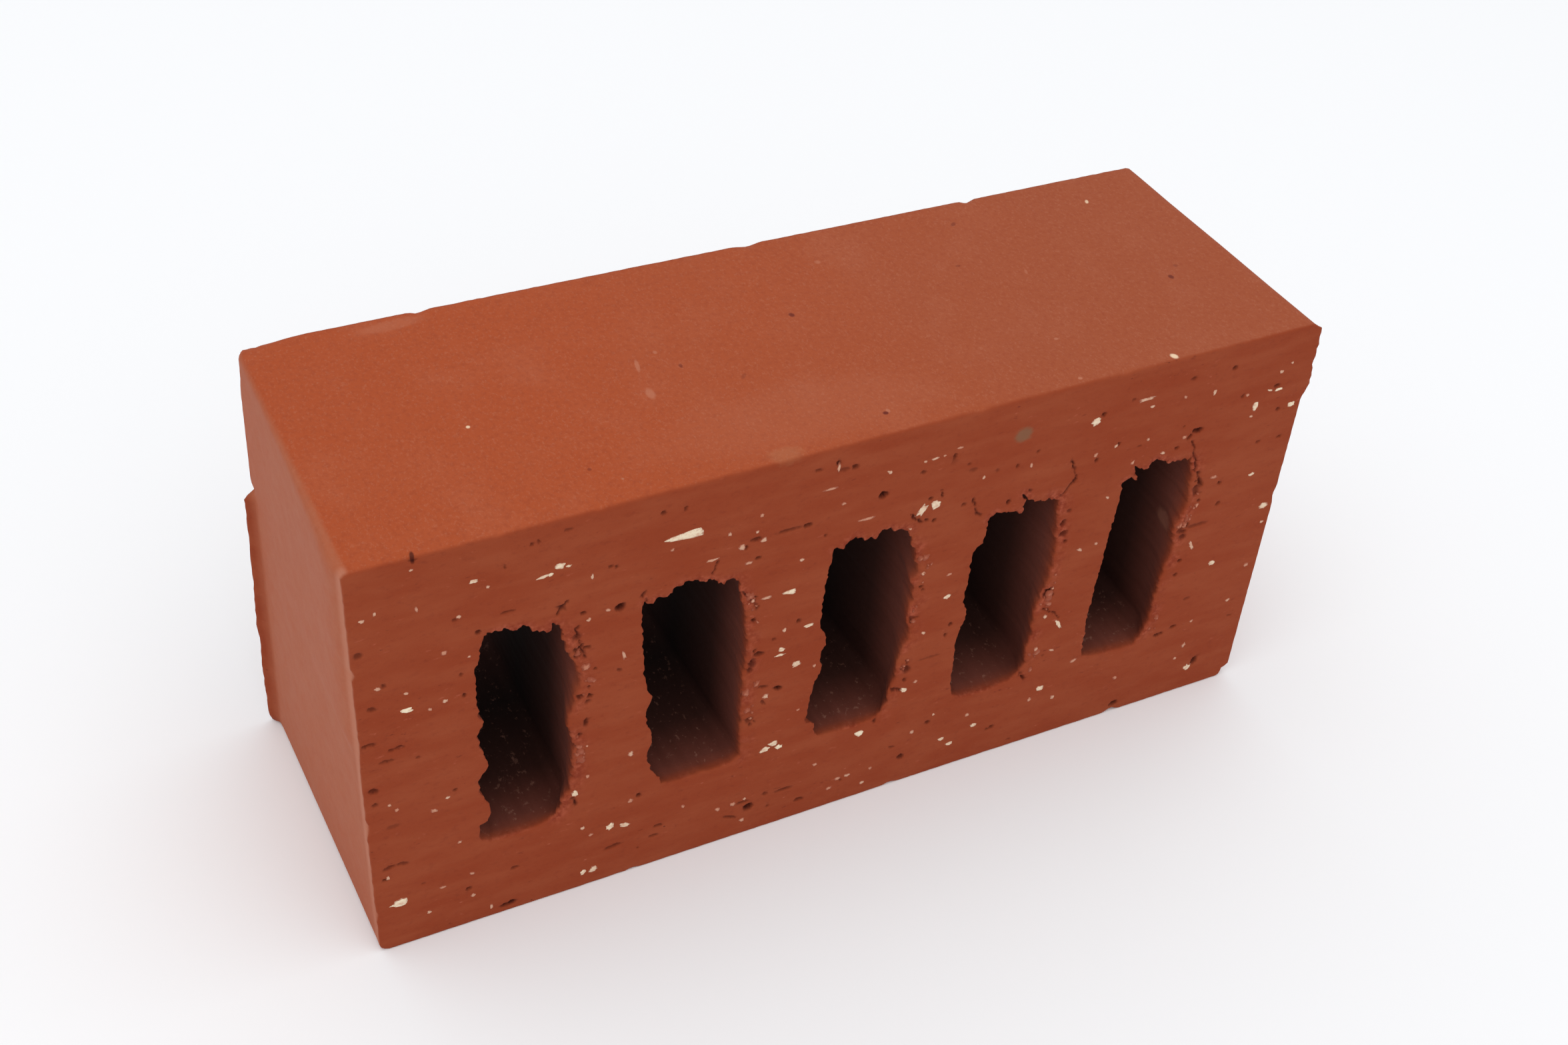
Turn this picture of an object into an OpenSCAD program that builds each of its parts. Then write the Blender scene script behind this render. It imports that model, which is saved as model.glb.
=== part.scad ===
// Extruded clay brick with one row of rectangular cores, standing on its
// long narrow side. It is one piece of fired clay: a column is pushed
// through a die that forms the outline and the cores, and a wire cuts it
// to thickness. The origin is the centre of the underside, X runs along
// the length, Y along the extrusion from one wire-cut face to the other,
// and Z is up.

/* [Brick] */
// Length, from end face to end face
brick_length = 230; // [180:1:330]
// Height as it stands, from narrow side to narrow side
brick_height = 110; // [90:1:160]
// Thickness between the two wire-cut faces
brick_thickness = 76; // [40:1:150]
// Radius of the four edges that the die rounds
die_edge_radius = 2.5; // [0.5:0.1:8]

/* [Cores] */
// Number of cores in the row
core_count = 5; // [1:1:5]
// Clay between each end face and the core next to it
end_wall = 27; // [15:0.5:35]
// Clay between two neighbouring cores
web = 16.5; // [10:0.5:22]
// Clay below the cores
lower_wall = 24.5; // [15:0.5:40]
// Clay above the cores
upper_wall = 27.5; // [15:0.5:40]
// Radius in the four corners of each core
core_corner_radius = 2; // [0.5:0.1:2]

/* [Hidden] */
$fn = 48;
clay = [0.63, 0.30, 0.20];
cut_over = 1;  // how far a core's cutter passes each wire-cut face
core_width = (brick_length - 2 * end_wall - (core_count - 1) * web) / core_count;
core_height = brick_height - lower_wall - upper_wall;
core_pitch = core_width + web;
first_core_x = -(core_count - 1) * core_pitch / 2;
core_middle_z = lower_wall + core_height / 2;

// Rectangle about the origin with four true arcs for corners
module rounded_rectangle(width, height, radius) {
    square([width - 2 * radius, height], center = true);
    square([width, height - 2 * radius], center = true);
    for (side = [-1, 1], end = [-1, 1])
        translate([side * (width / 2 - radius), end * (height / 2 - radius)])
            circle(radius);
}

// Bar along Y with a rounded rectangular section
module bar_along_y(width, height, radius, depth) {
    rotate([90, 0, 0])
        linear_extrude(depth, center = true)
            rounded_rectangle(width, height, radius);
}

// The outline that the die gives the clay column, cut to thickness
module column() {
    translate([0, 0, brick_height / 2])
        bar_along_y(brick_length, brick_height, die_edge_radius, brick_thickness);
}

// The row of cores, each running right through
module cores() {
    for (i = [0 : core_count - 1])
        translate([first_core_x + i * core_pitch, 0, core_middle_z])
            bar_along_y(core_width, core_height, core_corner_radius,
                        brick_thickness + 2 * cut_over);
}

module brick() {
    color(clay)
        difference() {
            column();
            cores();
        }
}

brick();
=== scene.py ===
import math

import bpy
import numpy as np
from mathutils import Matrix, Vector, geometry, noise


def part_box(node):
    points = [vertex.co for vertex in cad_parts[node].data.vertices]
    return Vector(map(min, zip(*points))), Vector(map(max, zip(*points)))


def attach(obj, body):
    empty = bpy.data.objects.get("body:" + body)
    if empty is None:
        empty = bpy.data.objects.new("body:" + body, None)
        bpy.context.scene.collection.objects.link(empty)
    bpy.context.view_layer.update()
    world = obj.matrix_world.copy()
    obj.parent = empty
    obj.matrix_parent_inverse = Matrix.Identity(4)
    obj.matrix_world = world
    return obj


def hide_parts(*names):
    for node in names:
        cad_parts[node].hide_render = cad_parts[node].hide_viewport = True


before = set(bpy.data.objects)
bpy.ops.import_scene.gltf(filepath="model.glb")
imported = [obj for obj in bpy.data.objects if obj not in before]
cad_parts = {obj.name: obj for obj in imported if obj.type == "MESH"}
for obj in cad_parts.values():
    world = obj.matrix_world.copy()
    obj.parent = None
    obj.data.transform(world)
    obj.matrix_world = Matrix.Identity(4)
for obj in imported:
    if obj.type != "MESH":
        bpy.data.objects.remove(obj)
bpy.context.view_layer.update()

# ---------------------------------------------------------------------------
# The brick: red clay pushed through a die as a column with five cores, cut off
# by a wire at the front and the rear, then dried and fired in one piece. The
# die left smooth sides, and the wire left drawn-out faces with torn core mouths.

# A brick leaves the kiln a little out of square: it sagged and shrank unevenly,
# so each corner sits up to a millimetre and a half off. Face places below are
# millimetres from the left end, the front face and the base.
MM = 0.001
low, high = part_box("brick")
LENGTH, DEPTH, HEIGHT = ((high - low) / MM)[:]
# how far each corner moved: (right end, rear face, top) -> x, y, z
CORNER_SHIFT = {
    (0, 0, 0): (0.8, -1.1, 0.0),
    (1, 0, 0): (0.8, -1.1, 0.0),
    (0, 1, 0): (0.0, 1.1, 0.0),
    (1, 1, 0): (0.0, 0.9, 0.0),
    (0, 0, 1): (-0.7, -0.3, -0.5),
    (1, 0, 1): (0.2, 0.7, 0.2),
    (0, 1, 1): (0.7, 0.3, 0.6),
    (1, 1, 1): (-0.6, 0.5, 0.0),
}


def fired(places):
    """Takes face places in millimetres to the frame in metres, with the kiln's warp."""
    share = places / (LENGTH, DEPTH, HEIGHT)
    moved = places.copy()
    for corner, shift in CORNER_SHIFT.items():
        weight = np.ones(len(places))
        for axis, far in enumerate(corner):
            weight *= share[:, axis] if far else 1 - share[:, axis]
        moved += weight[:, None] * shift
    return moved * MM + np.array(low)


def lumps(places, size, seed=0):
    """Smooth random lumps from about -1 to 1, this many millimetres across."""
    scaled = places / np.array(size) + (17.3 * seed, 5.1 * seed, -9.7 * seed)
    return np.array([noise.noise(Vector(p)) for p in scaled])


def smooth(share):
    """0 below 0, 1 above 1, eased between."""
    share = np.clip(share, 0, 1)
    return share * share * (3 - 2 * share)


# The mouths of the five cores on the front cut face. The wire dragged the wet
# clay across each core: it tore the upper edge into teeth, scalloped the left
# edge and crumbled the right one. Corner to corner, as (x, z), anticlockwise.
FRONT_MOUTHS = [
    dict(
        bottom=[(24.4, 25.6), (26, 24.8), (30, 24.5), (35.5, 24.5), (39.5, 25.2)],
        right=[(41.5, 26.3), (42.7, 28.5), (43.2, 30.8), (44.7, 32.5), (45.2, 35.5), (45.6, 39),
               (45.5, 42.5), (46, 46), (45.2, 49.5), (44.3, 52.5), (45.2, 55.5), (46.2, 58), (47, 61),
               (47.5, 63.5), (47.6, 66), (47.2, 68.2), (46.2, 70.5), (45.2, 72.5), (44.5, 74.5)],
        top=[(44, 77.5), (43.8, 80), (43, 81.8), (42.2, 82.8), (41.6, 83.3), (41.2, 81.6), (40.4, 81.2),
             (39.2, 81.8), (38, 82.5), (37.2, 83.2), (36.2, 84.5), (35, 85.1), (34.3, 83.9), (33, 84.5),
             (32.3, 85.3), (31.5, 85.6), (30.2, 85.2), (28.1, 85.3), (27, 84)],
        left=[(26.2, 82.5), (26.1, 81), (26, 78.5), (25, 77.2), (25, 72), (24.9, 67), (25, 63.2),
              (26, 61.8), (26, 60), (25, 59.2), (24.9, 57.5), (25, 54.2), (26.2, 51.5), (26.6, 49),
              (26.2, 46.5), (25.1, 45.3), (24.5, 44), (24.5, 41), (25.5, 39), (26.5, 36.5),
              (26.8, 33.5), (26, 31), (24.3, 30.3), (24.2, 27.5)],
    ),
    dict(
        bottom=[(66.6, 25.7), (69, 25.3), (72, 25.2), (78, 25.2), (84, 25.3)],
        right=[(86.4, 26.8), (86.2, 30), (85.8, 33), (85.9, 38), (85.9, 43), (86, 48), (86, 53),
               (86.3, 57), (86.5, 61), (86.1, 65), (85.8, 68.5), (85, 72), (84.2, 75)],
        top=[(83.8, 77.5), (83.5, 80.2), (82.3, 81.5), (81.2, 81.8), (80.2, 80.8), (78.8, 81.2),
             (77.5, 82.8), (76.2, 83.2), (75.6, 82.4), (74.5, 83), (73, 84.2), (71.5, 84.5), (70.2, 84),
             (68.8, 83.7), (68.2, 82.4), (66.8, 81.5), (65, 82), (63.2, 80.8), (62.2, 81.1)],
        left=[(61.7, 82.6), (61.3, 80), (61.2, 77), (61.5, 72), (61.8, 67), (61.9, 62), (62.5, 58.5),
              (63.2, 56), (63.8, 54), (63, 51), (62.5, 49), (63, 45.5), (64, 43), (64.2, 40.5),
              (63.4, 37.5), (63.2, 34.5), (64, 32), (65, 29.5), (66.2, 28)],
    ),
    dict(
        bottom=[(105.4, 26.2), (106.5, 25.2), (110, 25), (115.5, 24.8), (121, 24.9)],
        right=[(123, 26), (124.4, 28.6), (124.5, 32.5), (125.5, 35.5), (125.8, 39), (126, 42.5),
               (127, 45.5), (128, 48), (128, 51), (127.2, 53.5), (126.8, 56), (127.5, 58), (128, 60),
               (128, 63), (126.9, 65), (128.2, 67), (128, 69.5), (127.2, 72.5), (126.5, 75.5)],
        top=[(125.5, 77.5), (124.6, 80), (123.8, 81.3), (122.8, 82.8), (121, 82.4), (119.5, 83),
             (118.2, 83.6), (117.3, 82.3), (115.2, 81.8), (113.5, 82.2), (112.2, 83), (111.2, 84.1),
             (109.8, 83), (108.5, 81.5), (107, 81.8)],
        left=[(105.8, 82), (105.5, 79), (105, 76), (104.5, 72), (104.4, 67), (104.2, 63), (104, 60),
              (105, 58.5), (106, 57), (106.2, 54.5), (105.2, 52), (105.2, 49), (105.8, 46.8),
              (104.8, 44.5), (104, 42), (103.2, 39), (103.2, 35), (102.5, 32.5), (103, 30.8), (105, 29.8)],
    ),
    dict(
        bottom=[(142.7, 24.6), (145.5, 23), (149.5, 22.9), (154.5, 22.8), (159, 23.5)],
        right=[(161.5, 25), (163, 27.5), (162.3, 31), (163, 34), (163.5, 37), (163, 40), (163, 44),
               (163.5, 46.5), (164.8, 50), (165.2, 54), (165.8, 58), (166, 61), (165.8, 64),
               (165.2, 67), (165.2, 69.5), (164.8, 71.5), (164.2, 74)],
        top=[(164, 77), (162.5, 78.2), (160, 78.9), (157.5, 79.2), (156.2, 80), (155.3, 80.6),
             (154.3, 82.2), (153, 83.2), (153.8, 81.5), (154.6, 79.6), (154.2, 77.4), (153, 78),
             (150.5, 78.8), (147.5, 78.9), (145.9, 78.5)],
        left=[(145.2, 77.3), (145.2, 75.5), (145.1, 73.5), (144.7, 71.3), (143, 70.5), (142.3, 69.6),
              (142.2, 66), (142.2, 62), (142, 58), (141.8, 54.8), (143, 52), (143, 49), (142, 47),
              (141.5, 44), (141.2, 40), (141.5, 35.5), (141.5, 31), (142, 27)],
    ),
    dict(
        bottom=[(179.8, 24.2), (182, 23.2), (187, 22.6), (192, 22.2), (195.8, 22.2)],
        right=[(197.6, 24.5), (198.9, 28.2), (199.2, 32.6), (199.5, 37), (200, 42), (200.4, 47),
               (201.4, 50.8), (201.1, 54), (200.3, 57), (201, 59.5), (202, 62), (202.9, 65),
               (202.6, 68.2), (202, 71.4), (201.4, 74.5)],
        top=[(201.1, 77), (200.4, 79.2), (198.2, 79.5), (195.1, 79.8), (192.6, 80.8), (190.1, 81.7),
             (188.6, 81.4), (187.9, 79.9), (185.9, 80.2), (184.9, 81), (183.7, 82.3), (184.5, 80),
             (185.4, 77.4), (183.9, 78.2), (182.3, 78.2)],
        left=[(181.6, 77.6), (181.4, 74.5), (181.1, 69.5), (180.6, 63.2), (180.2, 57), (179.8, 50.8),
              (179.5, 44.5), (179.2, 38.2), (179.2, 32.6), (179.4, 27.6)],
    ),
]

# for each side of a mouth: points along it, rounding, fine raggedness, and the
# depth by which the tear has died out, the last three in millimetres
MOUTH_SIDES = dict(bottom=30, right=104, top=66, left=100)
EDGE_SOFTNESS = dict(bottom=0.6, right=0.8, top=0.15, left=0.2)
RAGGED = dict(bottom=0.22, right=0.5, top=0.6, left=0.34)
CORE_FADE = dict(bottom=7, right=8, top=4, left=4)
CORE_RADIUS = 2.0
CALMING_ROUNDS = 12


def spread(points, count):
    """Evenly spaced places along a run of points, without the last one."""
    points = np.array(points, float)
    steps = np.linalg.norm(np.diff(points, axis=0), axis=1)
    walked = np.concatenate([[0], np.cumsum(steps)])
    at = np.linspace(0, walked[-1], count, endpoint=False)
    return np.stack([np.interp(at, walked, points[:, k]) for k in (0, 1)], axis=1)


def mouth_loop(mouth):
    """The closed loop of points round a mouth, from its four sides."""
    names = list(MOUTH_SIDES)
    runs = [spread(mouth[name] + mouth[after][:1], MOUTH_SIDES[name])
            for name, after in zip(names, names[1:] + names[:1])]
    return np.concatenate(runs)


def by_side(values):
    """One value for each point of a mouth's loop, eased where two sides meet."""
    flat = np.concatenate([np.full(count, values[name]) for name, count in MOUTH_SIDES.items()])
    return np.mean([np.roll(flat, k) for k in range(-4, 5)], axis=0)


def plain_mouth(x0, x1, z0, z1, radius=CORE_RADIUS):
    """The clean rounded rectangle that the core bar leaves, by its four sides."""
    nip = 0.3 * radius
    return dict(
        bottom=[(x0 + nip, z0 + nip), (x0 + radius, z0), (x1 - radius, z0)],
        right=[(x1 - nip, z0 + nip), (x1, z0 + radius), (x1, z1 - radius)],
        top=[(x1 - nip, z1 - nip), (x1 - radius, z1), (x0 + radius, z1)],
        left=[(x0 + nip, z1 - nip), (x0, z1 - radius), (x0, z0 + radius)],
    )


def outward(loop):
    """Unit directions out of a closed anticlockwise loop of (x, z) places."""
    ahead = np.roll(loop, -2, axis=0) - np.roll(loop, 2, axis=0)
    side = np.stack([ahead[:, 1], -ahead[:, 0]], axis=1)
    return side / np.maximum(np.linalg.norm(side, axis=1), 1e-6)[:, None]


def in_3d(flat, y):
    """Places of (x, z) set at this depth from the front face."""
    return np.stack([flat[:, 0], np.broadcast_to(y, len(flat)), flat[:, 1]], axis=1)


def crossing(loop):
    """Which stretches of a closed loop cross another stretch of it."""
    a, b = loop[:, None], np.roll(loop, -1, axis=0)[:, None]
    c, d = loop[None], np.roll(loop, -1, axis=0)[None]

    def turn(p, q, r):
        ahead, aside = q - p, r - p
        return ahead[..., 0] * aside[..., 1] - ahead[..., 1] * aside[..., 0]

    crossed = (turn(a, b, c) * turn(a, b, d) < 0) & (turn(c, d, a) * turn(c, d, b) < 0)
    return crossed.any(axis=1)


def roughened(loop, seed, much=1.0):
    """The loop with a torn edge's small broken grains, calmed where it would cross itself."""
    places = in_3d(loop, 0)
    push = 1.1 * lumps(places, 1.5, seed) + 1.0 * lumps(places, 0.75, seed + 1)
    push = push * by_side(RAGGED) * much
    for _ in range(CALMING_ROUNDS):
        rough = loop + outward(loop) * push[:, None]
        rim = rough + outward(rough) * by_side(EDGE_SOFTNESS)[:, None]
        crossed = crossing(rough) | crossing(rim)
        if not crossed.any():
            break
        near = np.any([np.roll(crossed, k) for k in range(-4, 5)], axis=0)
        push = np.where(near, 0.4 * push, push)
        evened = (np.roll(loop, 1, axis=0) + np.roll(loop, -1, axis=0)) / 2
        loop = np.where(near[:, None], evened, loop)
    return rough


# the bores where they leave the die: even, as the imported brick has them
CORE_WIDTH, WEB, END_WALL = 22.0, 16.5, 27.0
LOWER_WALL, CORE_HEIGHT = 24.5, 58.0
core_starts = [END_WALL + k * (CORE_WIDTH + WEB) for k in range(len(FRONT_MOUTHS))]
even_bores = [(x, x + CORE_WIDTH, LOWER_WALL, LOWER_WALL + CORE_HEIGHT) for x in core_starts]
DIE_DEPTH = 76.0
REAR_TEAR = by_side(dict(bottom=0.3, right=0.9, top=1.7, left=0.7))
front_loops, front_bores, rear_loops, rear_bores = [], [], [], []
for number, (mouth, bore) in enumerate(zip(FRONT_MOUTHS, even_bores)):
    front_loops.append(roughened(mouth_loop(mouth), 3 + number))
    reach = {name: np.array(mouth[name]) for name in MOUTH_SIDES}
    front_bores.append(mouth_loop(plain_mouth(
        np.percentile(reach["left"][:, 0], 20), np.percentile(reach["right"][:, 0], 75),
        np.percentile(reach["bottom"][:, 1], 30), np.percentile(reach["top"][:, 1], 80))))
    clean = mouth_loop(plain_mouth(*bore))
    rear_bores.append(clean)
    # the rear mouths are torn the same way, the upper and right edges most
    at_rear = in_3d(clean, DIE_DEPTH)
    teeth = lumps(at_rear, 2.6, 40 + number) + 0.6 * lumps(at_rear, 1.2, 50 + number)
    torn = clean + outward(clean) * ((teeth - 0.25) * REAR_TEAR)[:, None]
    rear_loops.append(roughened(torn, 30 + number, 1.4))

# The outline of the clay column, rounded by the die at its four corners, and
# the burrs that the wire left where it broke out over the end faces. A corner
# has the x and z it stands at, its radius, and where its turn starts.
DIE_CORNERS = [(LENGTH, 0, 3.5, -90), (LENGTH, HEIGHT, 2.6, 0), (0, HEIGHT, 1.8, 90), (0, 0, 2.2, 180)]
CORNER_POINTS = 9
OUTLINE_STEP = 1.1


def column_outline():
    """Evenly spaced places round the column, anticlockwise from the lower right corner."""
    corners = []
    for corner_x, corner_z, radius, start in DIE_CORNERS:
        x = corner_x - radius if corner_x else radius
        z = corner_z - radius if corner_z else radius
        turns = np.radians(start + np.linspace(0, 90, CORNER_POINTS))
        corners += [(x + radius * math.cos(turn), z + radius * math.sin(turn)) for turn in turns]
    round_trip = corners + corners[:1]
    steps = np.linalg.norm(np.diff(np.array(round_trip), axis=0), axis=1)
    return spread(round_trip, int(steps.sum() / OUTLINE_STEP))


def between(value, start, end, ease):
    """1 from start to end, falling to 0 over ease on both sides."""
    return smooth((value - start) / ease + 0.5) * smooth((end - value) / ease + 0.5)


outline = column_outline()
out_of = outward(outline)
at_x, at_z = outline[:, 0], outline[:, 1]
on_left, on_right = at_x < 0.5, at_x > LENGTH - 0.5
rag = lumps(in_3d(outline, 0), 2.2, 60)
fine_rag = lumps(in_3d(outline, 0), 0.9, 61)
# burrs along the cut edges: a jagged lip high on the right end, and the clay
# the wire drew out behind the lower left end
front_burr = on_right * between(at_z, 90, 109, 2.5) * (1.0 + 0.7 * rag + 0.35 * fine_rag)
front_burr += 0.18 * rag + 0.1 * fine_rag
slow = lumps(in_3d(outline, 0), 7, 62)
rear_burr = on_left * between(at_z, 0, 70.5, 2) * (2.1 + 0.7 * slow + 0.12 * rag)
rear_burr = rear_burr + np.where(on_left, 0.06, 0.18) * (rag + 0.4 * fine_rag)
rear_burr += on_right * between(at_z, 20, 80, 6) * (0.6 + 0.6 * rag)
FRONT_BURR_REACH, REAR_BURR_REACH = 2.4, 3.6       # how far in a burr has died out, mm
# the upper left end bulges a few millimetres behind the front face
swell = on_left * between(at_z, 60, 109, 6)
# a missing chip: where on the outline, how long, how deep
FRONT_CHIPS = [((193, 0), 5, 1.2), ((229, 1.5), 5, 1.6), ((230, 98.5), 2.2, 0.9), ((60, 0), 4, 0.5),
               ((128, 0), 5, 0.6), ((14, 110), 2, 0.6), ((31, 110), 3, 0.4), ((52, 110), 4, 0.4),
               ((92, 110), 5, 0.35), ((139, 110), 6, 0.5), ((176, 110), 5, 0.4), ((0, 84), 3, 0.7),
               ((0, 40), 6, 0.5), ((0, 12), 4, 0.5), ((230, 60), 6, 0.5)]
REAR_CHIPS = [((0, 72.5), 3, 1.2), ((2, 110), 26, 0.9), ((40, 110), 6, 0.6), ((120, 110), 8, 0.6),
              ((180, 110), 5, 0.9), ((228, 3), 6, 1.8), ((90, 0), 8, 0.9), ((230, 96), 5, 1.0)]


def chipped(chips):
    """How far the chips take the outline in."""
    depth = np.zeros(len(outline))
    for place, size, deep in chips:
        apart = np.linalg.norm(outline - place, axis=1) / (size / 2)
        depth = np.maximum(depth, deep * smooth(1 - apart) * (1 + 0.4 * fine_rag))
    return depth


front_chip, rear_chip = chipped(FRONT_CHIPS), chipped(REAR_CHIPS)

# The two wire-cut faces. The wire pulls grains and lumps along the length as
# it goes, so the skin is drawn out sideways, with pits, dragged dashes and a
# few drying cracks beside the cores. The front face's pits and dashes are
# (x, z, width, height, depth), and their tilt in degrees if they lie askew;
# the depth also sets how dark the painted shade in them is.
FRONT_PITS = [
    (5.4, 58.2, 4.6, 1.0, 0.5), (8.4, 61.2, 2.6, 1.0, 0.5), (2.0, 64.1, 4.6, 1.0, 0.5),
    (12.1, 56.8, 1.4, 0.9, 0.4), (2.2, 50.7, 2.4, 1.8, 0.7), (19.2, 43.9, 1.1, 1.1, 0.6),
    (5.5, 38.5, 4.0, 1.6, 0.15), (3.8, 26.2, 3.2, 1.1, 0.5, 12), (6.8, 26.2, 3.0, 1.1, 0.45, -14),
    (20.8, 11.4, 1.6, 1.3, 0.7), (31.6, 13.5, 2.2, 1.0, 0.5), (55.0, 10.1, 5.6, 1.0, 0.5, 5),
    (29.8, 2.2, 4.4, 1.5, 1.2, 8), (48.7, 52.3, 1.1, 3.0, 0.8), (47.3, 49.0, 1.1, 1.6, 0.6),
    (37.6, 105.7, 1.0, 1.2, 0.5), (39.1, 105.9, 0.9, 1.0, 0.4), (32.1, 101.7, 0.7, 1.2, 0.4),
    (55.5, 93.9, 1.1, 0.9, 0.6), (32.2, 89.9, 3.8, 0.8, 0.45), (26.0, 86.6, 1.5, 1.2, 0.8),
    (1.9, 89.0, 2.2, 2.0, 0.5), (3.5, 73.8, 2.4, 1.2, 0.5, -20), (6.3, 79.2, 1.0, 1.4, 0.5),
    (22.4, 70.5, 1.0, 1.2, 0.7), (22.0, 76.5, 0.8, 1.0, 0.4), (56.4, 82.6, 2.6, 2.4, 1.5),
    (48.3, 83.8, 1.3, 1.0, 0.7), (56.2, 65.0, 1.4, 1.0, 0.5, -40), (65.4, 104.8, 1.3, 1.2, 0.6),
    (70.4, 104.4, 0.8, 1.6, 0.5), (104.8, 105.9, 1.0, 1.4, 0.6), (109.0, 103.6, 1.8, 1.6, 0.7),
    (106.4, 103.8, 3.0, 1.2, 0.3), (116.8, 93.7, 2.6, 2.2, 1.4), (86.9, 91.0, 3.4, 1.2, 0.6),
    (84.5, 89.4, 0.8, 1.6, 0.6), (94.0, 91.1, 7.0, 1.0, 0.45), (98.8, 91.0, 2.6, 1.3, 0.8),
    (87.4, 85.6, 1.6, 1.0, 0.7), (133.6, 99.2, 1.0, 2.2, 0.6), (126.1, 97.1, 2.0, 1.0, 0.5),
    (139.1, 93.9, 2.4, 1.2, 0.25), (145.4, 92.0, 0.9, 1.4, 0.25), (150.7, 91.6, 1.0, 1.4, 0.5),
    (137.8, 84.6, 1.4, 1.0, 0.5), (149.7, 81.8, 1.2, 1.5, 0.8), (155.2, 83.3, 1.2, 1.0, 0.6),
    (171.9, 99.8, 1.5, 1.2, 0.7, -40), (172.3, 86.9, 1.2, 1.4, 0.7), (177.8, 90.0, 1.1, 1.2, 0.7),
    (130.6, 82.4, 1.2, 1.2, 0.7), (98.7, 63.9, 1.5, 1.3, 0.7), (89.4, 57.3, 3.0, 1.4, 0.8),
    (87.4, 53.0, 1.4, 1.8, 0.7), (94.7, 45.0, 3.2, 1.4, 1.3, -20), (91.0, 46.8, 3.2, 0.9, 0.5, -10),
    (91.2, 41.8, 2.4, 0.8, 0.5, -60), (139.0, 48.8, 1.4, 1.3, 0.7), (138.1, 45.8, 1.0, 1.5, 0.6),
    (134.5, 40.0, 8.0, 0.8, 0.2), (127.0, 32.2, 2.4, 1.0, 0.6, -40), (127.6, 53.5, 2.3, 4.0, 0.6),
    (103.3, 32.0, 1.8, 2.4, 1.2), (89.3, 8.5, 2.8, 2.8, 1.6), (87.5, 10.8, 4.0, 0.9, 0.5),
    (66.0, 12.1, 2.6, 1.0, 0.5), (64.9, 9.2, 3.0, 0.9, 0.5), (93.4, 11.2, 2.0, 1.0, 0.5),
    (98.5, 10.7, 5.0, 1.0, 0.5), (102.5, 5.4, 3.2, 1.2, 0.6), (84.5, 7.0, 5.0, 0.9, 0.5, -25),
    (61.2, 24.3, 1.2, 1.6, 0.8), (121.3, 24.3, 1.0, 2.4, 0.8, 20), (136.6, 17.8, 1.6, 1.2, 0.7),
    (130.1, 8.8, 2.2, 1.8, 0.9), (156.0, 8.8, 1.6, 1.3, 0.6), (193.5, 2.6, 2.6, 2.0, 1.3),
    (163.0, 22.8, 1.0, 2.6, 0.8, 25), (203.0, 23.0, 3.5, 1.2, 0.8), (207.5, 24.2, 2.0, 1.2, 0.7),
    (217.4, 9.0, 2.2, 3.0, 1.0), (207.1, 103.2, 1.6, 1.4, 0.7), (195.7, 103.3, 1.8, 1.0, 0.5),
    (221.3, 94.6, 2.2, 1.0, 0.7), (211.5, 94.2, 1.0, 1.0, 0.5), (223.4, 87.3, 1.6, 1.2, 0.7),
    (210.9, 69.1, 1.2, 1.1, 0.7), (198.2, 86.2, 1.1, 2.2, 0.9, -30), (200.3, 87.5, 3.4, 1.7, 1.3),
    (195.2, 83.9, 1.6, 1.0, 0.7), (205.1, 71.0, 1.2, 3.2, 0.9, 25), (212.0, 62.5, 1.2, 1.6, 0.6, -30),
    (219.9, 78.8, 1.6, 0.8, 0.5), (207.0, 57.4, 7.5, 1.2, 0.35), (203.3, 56.3, 2.0, 1.4, 0.6),
    (204.3, 46.9, 1.4, 1.1, 0.7), (204.1, 42.5, 1.5, 1.1, 0.7), (209.6, 32.9, 2.4, 1.2, 0.25),
    (49.0, 74.0, 2.6, 1.0, 0.6), (129.0, 89.0, 1.6, 1.0, 0.8),
]
# drying cracks as runs of (x, z), with their width in millimetres
FRONT_CRACKS = [
    ([(42.6, 85.2), (43.6, 86.8), (44.8, 88.4)], 0.6),
    ([(46.8, 80.5), (47.3, 77), (48.2, 72.7), (48.4, 71)], 0.5),
    ([(45.2, 30), (46.6, 27.6)], 0.5),
    ([(78.2, 87.4), (77.6, 86), (77, 84.8)], 0.5),
    ([(61.9, 82), (61.7, 85)], 0.5),
    ([(84.8, 76.5), (88, 72.5)], 0.6),
    ([(124.6, 86), (125.6, 84), (127.5, 83.2), (129, 82.8)], 0.55),
    ([(131.8, 88.5), (131.4, 90.5)], 0.4),
    ([(140.2, 85.5), (141.2, 82), (142.4, 79.8)], 0.5),
    ([(205.4, 70), (203.6, 73), (202, 78)], 0.6),
    ([(165.3, 88.5), (166.5, 86), (167.5, 83), (165.2, 80.3), (163.8, 78.5)], 0.5),
    ([(199.5, 84.5), (200.6, 81.5), (202, 78)], 0.55),
    ([(14.1, 110), (14.2, 108.4)], 0.6),
    ([(165.5, 44.5), (168, 42.5), (170.4, 40.3)], 0.5),
    ([(161.6, 25), (162.8, 23)], 0.5),
]
# how far apart a face's points lie in the open, near an edge and in a pit, mm
POINT_STEPS = (1.45, 0.8, 0.42)
NEAR_EDGE, NEAR_PIT, NEAR_CRACK = 3.2, 0.5, 0.8


def distance_to_runs(flat, runs):
    """Distance from each place to the nearest stretch of any run of points."""
    nearest = np.full(len(flat), 1e9)
    stretches = [np.array(ends, float) for run in runs for ends in zip(run, run[1:])]
    for start, end in stretches:
        step = end - start
        share = np.clip(((flat - start) @ step) / (step @ step), 0, 1)
        nearest = np.minimum(nearest, np.linalg.norm(flat - start - share[:, None] * step, axis=1))
    return nearest


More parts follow.
